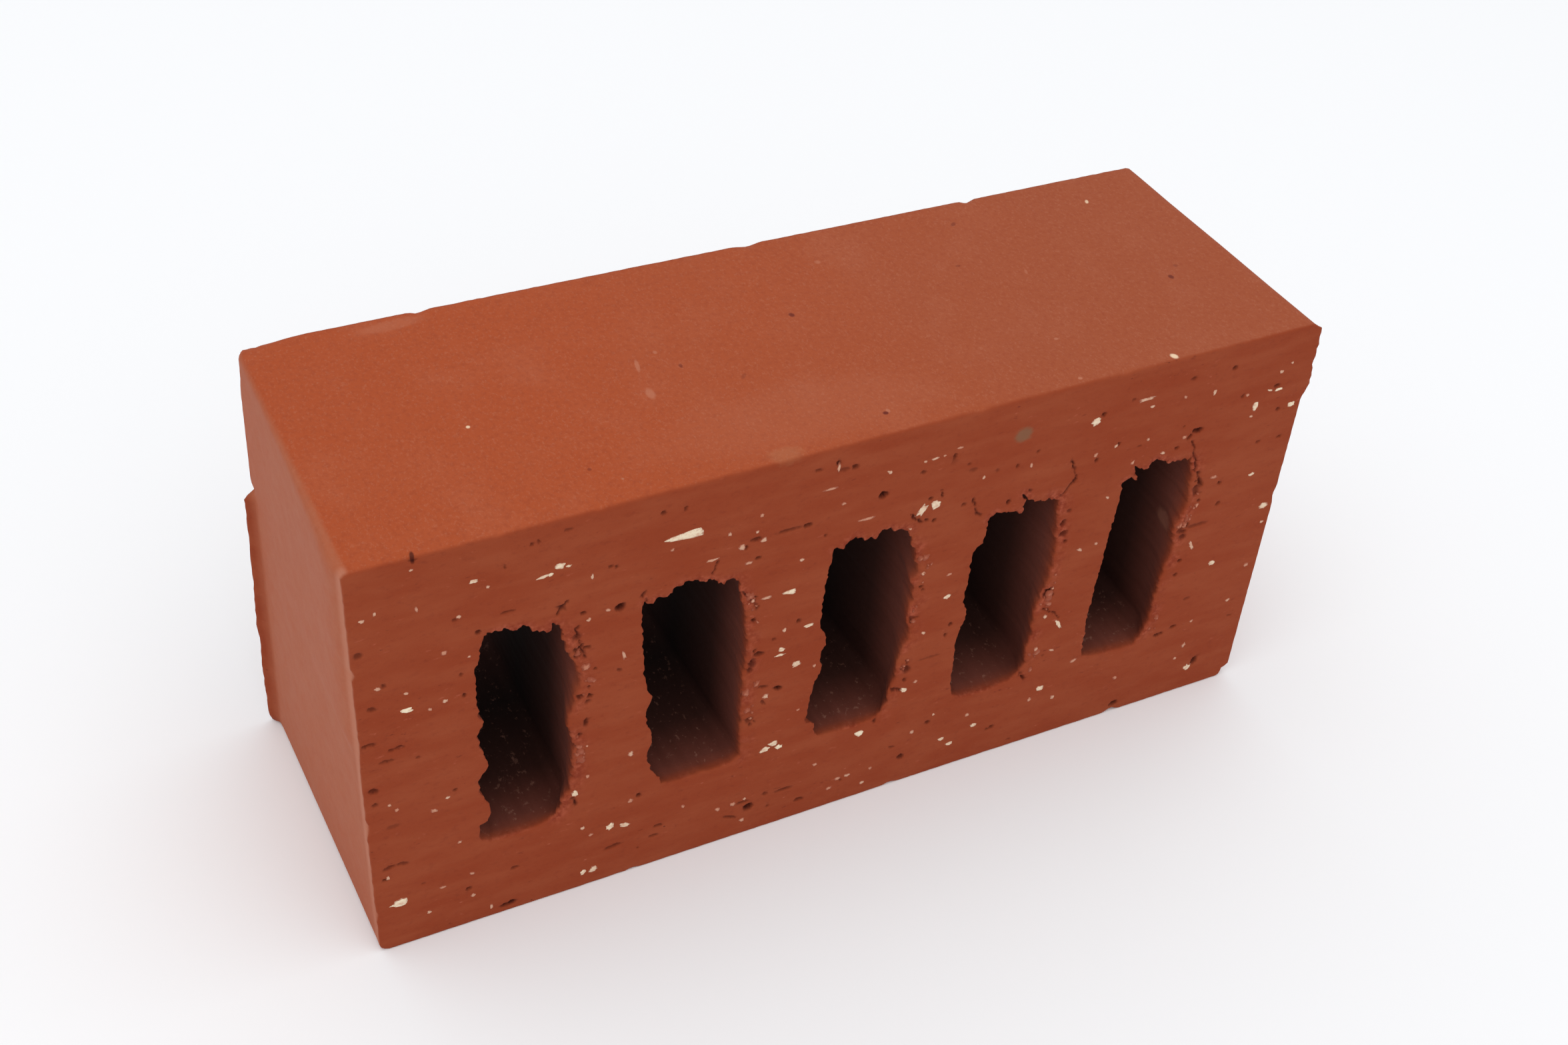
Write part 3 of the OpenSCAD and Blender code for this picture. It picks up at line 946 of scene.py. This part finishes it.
# the front face's grains: (x, z, length, height, tilt, taper to the left end)
FRONT_GRAINS = dict(
    bright=[
        (5.4, 13.9, 4.5, 2.4), (54.3, 17, 2.6, 2.0, 30), (58, 16.1, 2.6, 1.5, -15),
        (47.6, 4.6, 1.6, 1.6), (50, 4.5, 2.4, 2.2), (25.5, 100.2, 2.1, 1.0), (39.8, 96.5, 3.4, 0.8, 8),
        (43.4, 98.2, 2.4, 1.6), (45.2, 97.6, 1.4, 0.6), (10.4, 71, 3.0, 1.6),
        (127.1, 86.4, 3.6, 2.4, 60), (130.4, 87, 3.0, 2.8, -30), (92.4, 26.4, 2.6, 1.8),
        (94.6, 27.4, 3.0, 1.6), (96, 25.8, 2.2, 1.4), (117.5, 21.6, 2.4, 1.9, -20),
        (95.6, 73.4, 3.8, 1.5, 0, 0.7), (99, 50.9, 2.8, 1.9), (94.9, 56.8, 1.6, 1.6),
        (94.5, 55.2, 3.0, 0.8), (101.3, 61.7, 2.4, 1.1), (136.9, 58, 2.0, 1.5),
        (128.6, 31.7, 2.2, 1.4, -30), (170.1, 98.3, 2.6, 2.4, 35), (168.7, 17.4, 2.6, 1.9),
        (150.3, 11.6, 2.2, 1.5), (144, 7.7, 2.4, 1.3), (141.3, 10.3, 2.0, 1.3), (215.4, 7.4, 2.4, 2.0),
        (216.2, 90.1, 1.9, 2.5), (227.1, 87.9, 2.2, 1.6), (220.4, 69, 1.9, 1.0),
        (226.9, 57.3, 3.2, 2.0, 15), (214.8, 42.9, 2.2, 1.8), (170.5, 38, 4.0, 1.1, -60),
        (46, 31.2, 2.0, 2.2), (222, 93.4, 2.4, 0.8), (219.4, 93.8, 1.8, 0.6, -20),
        (41.4, 96.6, 1.2, 0.9),
    ],
    dull=[
        (59, 38.5, 1.5, 1.6), (49, 35.5, 0.9, 1.3), (14.5, 39.6, 1.8, 1.4, -15), (46.1, 42.7, 0.9, 1.3),
        (48.9, 45, 0.7, 0.9), (39.7, 25, 1.1, 1.2), (19.5, 27.4, 1.2, 1.2), (21.8, 16.2, 1.4, 1.0, -15),
        (15, 14.7, 1.6, 1.0), (11.6, 8, 1.1, 1.2), (21.7, 9, 1.5, 1.2), (47.7, 19.4, 1.1, 1.1),
        (49.6, 16.4, 1.2, 1.1), (59.2, 23.5, 1.4, 1.5), (3.3, 23.2, 0.8, 1.4), (25.7, 3.2, 0.9, 1.6),
        (5.2, 45.3, 0.9, 1.1), (6.6, 43.3, 1.2, 1.2), (17.5, 42.3, 1.2, 1.0), (3.2, 97.6, 1.6, 1.0),
        (5.8, 98.6, 0.7, 1.0), (14, 97, 0.8, 1.6), (28.4, 97.9, 1.0, 1.0), (22.2, 92.2, 1.0, 1.2),
        (50.2, 93.2, 0.7, 1.6), (13.5, 107.1, 1.0, 0.8), (18.9, 83.7, 1.5, 1.3), (18.4, 70.5, 1.4, 1.0),
        (15.2, 69.4, 1.0, 1.0), (10.7, 75.6, 1.3, 0.9), (5, 79, 1.5, 1.2, -20), (23.9, 80.8, 0.9, 0.8),
        (53.6, 82.8, 1.4, 1.0, -20), (49.4, 81.6, 1.2, 1.2), (57.2, 69, 3.4, 0.9, -78),
        (80.6, 94.4, 1.1, 1.3), (86.9, 93, 1.0, 1.0), (87.7, 97.3, 1.1, 1.2), (67.7, 94.4, 1.0, 1.0),
        (83.5, 89.9, 1.7, 1.8), (88.6, 90.3, 1.8, 1.4), (77, 88.6, 3.4, 0.9), (85.4, 85, 2.0, 1.1),
        (104.9, 104.4, 0.9, 2.4), (103.6, 99.4, 4.0, 0.8), (107, 94.4, 1.2, 1.1),
        (117.6, 99.7, 1.6, 1.0, -30), (98.1, 81.7, 1.2, 1.0, -25), (126.2, 100, 1.0, 0.7),
        (128.6, 100.1, 2.2, 0.8), (131, 100.2, 1.0, 0.6), (134.6, 101.3, 1.8, 0.8),
        (125, 81.4, 1.5, 0.8, -30), (142, 91, 0.8, 1.2), (154.3, 90.7, 1.0, 1.4),
        (171.8, 88.6, 1.2, 1.4), (177, 89.6, 1.2, 1.0), (90.3, 73.5, 3.0, 1.0), (87, 73.6, 0.9, 1.3),
        (95.1, 62.5, 1.2, 1.3), (103.6, 48.7, 1.0, 1.2), (88.7, 37.6, 1.2, 1.0),
        (100.4, 36.1, 1.2, 0.8), (131.4, 33.4, 1.6, 1.2), (129.6, 67.3, 1.4, 1.4, -30),
        (136.6, 64.8, 1.8, 0.8), (131.8, 48.6, 1.6, 1.0, -40), (91.7, 43.6, 1.8, 1.4),
        (81.2, 11.2, 1.5, 1.5), (85, 11.3, 1.6, 1.4), (88, 11.8, 1.0, 1.0), (87.6, 4.9, 1.6, 1.5),
        (72.2, 16, 1.2, 1.2), (106.2, 15.9, 1.4, 1.2), (112.8, 8.3, 1.6, 1.2), (115.5, 8.4, 2.2, 1.3),
        (110.6, 5.8, 1.8, 1.2), (119.9, 4, 1.4, 1.2), (121.8, 8.2, 1.2, 1.3), (132.4, 16.3, 1.4, 1.4),
        (138, 20, 1.0, 1.0), (148, 16.1, 1.3, 1.2), (166, 14.4, 1.4, 1.4), (173.2, 12.6, 1.4, 1.6),
        (177.4, 23.5, 2.2, 1.3), (192, 12.3, 1.7, 1.3, -20), (212.4, 16.2, 1.4, 1.8, -20),
        (210.6, 12.2, 1.0, 1.0), (223.5, 27.7, 1.6, 1.1), (213, 24.2, 1.0, 1.0), (183, 100.9, 5.4, 1.1),
        (185.2, 98.4, 1.4, 0.9, -25), (194.2, 98.6, 1.4, 0.9, -30), (202.7, 97.6, 1.0, 1.6),
        (212.8, 94.2, 1.4, 1.0), (215.4, 87.4, 1.4, 0.8), (221.5, 98.5, 1.4, 1.1),
        (224.1, 100.4, 0.9, 0.9), (208.5, 71.5, 3.0, 1.0), (186, 89, 1.2, 1.0, -30),
        (196.7, 86.6, 1.4, 1.2), (191.2, 83.6, 1.6, 0.9, -25), (182.9, 83.2, 1.0, 1.4, -30),
        (177.6, 74.7, 1.4, 0.9, -30), (172.5, 60.6, 2.0, 1.0, -25), (177, 61.1, 1.4, 1.0, -15),
        (205.5, 64, 1.4, 1.6), (203.4, 58.2, 1.6, 1.0, -30), (206.8, 51, 3.5, 1.0, -60),
        (227.9, 51.9, 1.4, 1.0), (226.6, 38.5, 1.6, 1.4), (170, 29.7, 1.8, 0.8, -25),
        (165.2, 31.6, 1.2, 1.6), (166.1, 41.8, 1.0, 1.6), (167.2, 50.2, 1.2, 1.0),
        (112.8, 88.3, 5.0, 0.9),
    ],
)
# the largest grain lies along the upper wall as a long wedge: its outline, as (x, z)
WEDGE = [(65.2, 97.2), (66.2, 97.7), (68, 98), (70.2, 98.2), (72.5, 98.6), (74.2, 98.5), (75.0, 97.4),
         (74.9, 96.2), (72.5, 96), (70, 96.3), (67, 96.6), (66.0, 96.9)]


def random_grains(seed, count, smallest, largest):
    """Grains scattered as they lie in the clay: many small ones, few large."""
    draw = np.random.default_rng(seed)
    found = []
    while len(found) < count:
        x, z = draw.uniform(2, LENGTH - 2), draw.uniform(2, HEIGHT - 2)
        if by_a_core(x, z):
            continue
        length = smallest + (largest - smallest) * draw.random() ** 3
        tall = max(0.5, length * draw.uniform(0.3, 0.7))
        found.append((x, z, length, tall, draw.uniform(-6, 14), 0.0))
    return found


grain_points, grain_faces = [], []
grain_marks = dict(tone=[], outer=[])
RIM_POINTS = 12
SHELL_RINGS = (1.12, 0.9, 0.5)       # sunk rim, shoulder and crown, as shares of a grain's rim


def grain_rim(length, tall, tilt, taper, draw):
    """A ragged rim of this size round its own middle, drawn out and broken by the wire."""
    turns = np.linspace(0, 2 * math.pi, RIM_POINTS, endpoint=False)
    turns = turns + draw.uniform(-0.16, 0.16, RIM_POINTS)
    ragged = draw.uniform(0.72, 1.3, RIM_POINTS)
    along = np.sign(np.cos(turns)) * np.abs(np.cos(turns)) ** 0.9 * ragged * length / 2
    up = np.sin(turns) * ragged * tall / 2 * (1 + taper * np.clip(along / (length / 2), -1, 1))
    turn = math.radians(tilt)
    x = along * math.cos(turn) - up * math.sin(turn)
    z = along * math.sin(turn) + up * math.cos(turn)
    return np.stack([x, z], axis=1)


def lay_grains(found, side, draw):
    """Shards of (x, z, rim, tone, crown): a sunk rim, a shoulder at the surface, a low crown."""
    found = [grain for grain in found
             if not any(inside(grain[2] + grain[:2], loop).any() for loop in side["torn"])]
    middles = np.array([grain[:2] for grain in found])
    insets = relief(middles, side["hollows"], [], side["torn"], side["seed"])[0]
    for (x, z, rim, tone, crown), inset in zip(found, np.clip(insets, -0.3, 0.8)):
        flat = np.concatenate([rim * share + (x, z) for share in SHELL_RINGS] + [[(x, z)]])
        rise = np.repeat([-0.3, 0.25 * crown, crown], RIM_POINTS).tolist() + [crown * 1.1]
        y = inset - np.array(rise) - draw.uniform(-0.02, 0.02, len(flat))
        first = sum(len(block) for block in grain_points)
        grain_points.append(in_3d(flat, y if side["front"] else DEPTH - y))
        grain_marks["tone"].append(np.full(len(flat), tone))
        grain_marks["outer"].append(np.repeat([1.0, 0.75, 0.25, 0.0], [RIM_POINTS] * 3 + [1]))
        rings = [np.arange(RIM_POINTS) + first + k * RIM_POINTS for k in range(3)]
        shell = [tuple(rings[0][::-1])]
        for k in range(RIM_POINTS):
            after = (k + 1) % RIM_POINTS
            shell += [(outer[k], outer[after], inner[after], inner[k])
                      for outer, inner in zip(rings, rings[1:])]
            shell.append((rings[2][k], rings[2][after], first + 3 * RIM_POINTS))
        grain_faces.extend(tuple(map(int, face if side["front"] else face[::-1])) for face in shell)


def crumbs(side, draw):
    """Crumbs of clay that hang along the right edge of every mouth, where the wire tore it."""
    found = []
    for loop in side["torn"]:
        for x, z in beside_right_edge(loop, draw, 4, 4):
            length = 0.6 + 1.8 * draw.random() ** 2
            rim = grain_rim(length, length * draw.uniform(0.5, 1.0), draw.uniform(0, 180), 0, draw)
            found.append((x, z, rim, draw.uniform(1.15, 2.0), 0.25))
    return found


draw = np.random.default_rng(77)
on_front, on_rear = [], []
for kind, tone in (("bright", 0.15), ("dull", 0.75)):
    for x, z, length, tall, *lean in FRONT_GRAINS[kind]:
        tilt, taper = (lean + [0, 0])[:2]
        rim = grain_rim(length, tall, tilt, taper, draw)
        on_front.append((x, z, rim, tone + draw.uniform(-0.15, 0.2), min(0.12, 0.08 * tall)))
wedge = np.array(WEDGE)[::-1]
on_front.append((*wedge.mean(axis=0), wedge - wedge.mean(axis=0), 0.1, 0.12))
for x, z, length, tall, tilt, taper in random_grains(33, 190, 0.6, 5.0):
    rim = grain_rim(length, tall, tilt, taper, draw)
    tone = draw.uniform(0, 1) * (0.2 if length > 2.4 else 1)
    on_rear.append((x, z, rim, tone, min(0.12, 0.08 * tall)))
lay_grains(on_front + crumbs(sides[0], draw), sides[0], draw)
lay_grains(on_rear + crumbs(sides[1], draw), sides[1], draw)

grain_marks = {name: np.concatenate(blocks) for name, blocks in grain_marks.items()}
grains = moulded("pale_grains", np.concatenate(grain_points), grain_faces, grain_marks)

# bright to dull stone by its tone, and crumbs beyond; clay still smears the rims
grain_stone = bpy.data.materials.new("grain_stone")
grain_stone.use_nodes = True
tree = grain_stone.node_tree
grain_shader = tree.nodes["Principled BSDF"]
bright_stone = (0.90, 0.77, 0.55, 1)
dull_stone = (0.50, 0.18, 0.10, 1)
crumb_clay = (0.30, 0.055, 0.022, 1)
tan_cloud = (0.56, 0.22, 0.12, 1)
smeared_clay = (0.30, 0.056, 0.020, 1)
tone, outer = mark_on("tone"), mark_on("outer")
stone = blend(tone, bright_stone, dull_stone)
stone = blend(eased(tone, 1.0, 1.8), stone, crumb_clay)
stone = tinted(stone, tan_cloud, 0.6, patches((1.1, 0.9, 0.7), 0.42, 0.72, 4, 0.6))
wear = sum_of((1.0, outer), (1.6, clouding((0.9, 0.7, 0.5), 4, 0.65)), (0.35, tone))
stone = tinted(stone, smeared_clay, 0.9, eased(wear, 1.32, 1.76))
tree.links.new(stone, grain_shader.inputs["Base Color"])
grain_shader.inputs["Roughness"].default_value = 0.85
pocked = clouding((0.4, 0.4, 0.4), 3, 0.6)
grain_rise = step("Bump", {"Height": pocked, "Distance": 0.15 * MM, "Strength": 1.0})
tree.links.new(grain_rise.outputs[0], grain_shader.inputs["Normal"])
grains.data.materials.append(grain_stone)
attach(grains, "root")
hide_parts("brick")

# ---------------------------------------------------------------------------
# The stage: a plain pale floor that the brick stands on, soft light from above
# and a camera above the front left corner, turned a little about its own axis.
floor_mesh = bpy.data.meshes.new("floor")
FLOOR_REACH = 6.0
floor_corners = [(FLOOR_REACH * x, FLOOR_REACH * y, 0) for x, y in ((-1, -1), (1, -1), (1, 1), (-1, 1))]
floor_mesh.from_pydata(floor_corners, [], [(0, 1, 2, 3)])
floor = bpy.data.objects.new("floor", floor_mesh)
bpy.context.collection.objects.link(floor)
floor_paint = bpy.data.materials.new("floor_paint")
floor_paint.use_nodes = True
paint_shader = floor_paint.node_tree.nodes["Principled BSDF"]
paint_shader.inputs["Base Color"].default_value = (0.95, 0.95, 0.95, 1)
paint_shader.inputs["Roughness"].default_value = 0.7
floor_mesh.materials.append(floor_paint)

world = bpy.data.worlds.new("room_light")
bpy.context.scene.world = world
world.use_nodes = True
room = world.node_tree.nodes["Background"]
room.inputs["Color"].default_value = (0.95, 0.97, 1.0, 1)
room.inputs["Strength"].default_value = 0.84


def soft_light(name, place, size, watts, colour):
    """A square lamp of this size in metres, facing the brick."""
    lamp = bpy.data.lights.new(name, "AREA")
    lamp.size, lamp.energy, lamp.color = size, watts, colour
    holder = bpy.data.objects.new(name, lamp)
    holder.location = place
    holder.rotation_mode = "QUATERNION"
    towards_brick = Vector((0, 0, 0.05)) - Vector(place)
    holder.rotation_quaternion = towards_brick.to_track_quat("-Z", "Y")
    bpy.context.collection.objects.link(holder)


soft_light("window_light", (-0.3, -0.5, 2.1), 2.4, 17, (1.0, 0.985, 0.97))

AIM = Vector((0.0005, 0.0009, 0.0562))
CAMERA_DISTANCE, CAMERA_LENS = 0.4741, 45.99
CAMERA_TURN, CAMERA_RISE, CAMERA_ROLL = map(math.radians, (-30.22, 39.57, 5.47))
back = Vector((math.sin(CAMERA_TURN) * math.cos(CAMERA_RISE),
               -math.cos(CAMERA_TURN) * math.cos(CAMERA_RISE), math.sin(CAMERA_RISE)))
camera_data = bpy.data.cameras.new("camera")
camera_data.sensor_width = 36
camera_data.lens = CAMERA_LENS
camera_data.clip_start, camera_data.clip_end = 0.01, 50
camera = bpy.data.objects.new("camera", camera_data)
camera.location = AIM + back * CAMERA_DISTANCE
camera.rotation_mode = "QUATERNION"
roll = Matrix.Rotation(CAMERA_ROLL, 3, "Z").to_quaternion()
camera.rotation_quaternion = (-back).to_track_quat("-Z", "Y") @ roll
bpy.context.collection.objects.link(camera)
bpy.context.scene.camera = camera

bpy.context.scene.view_settings.view_transform = "Standard"
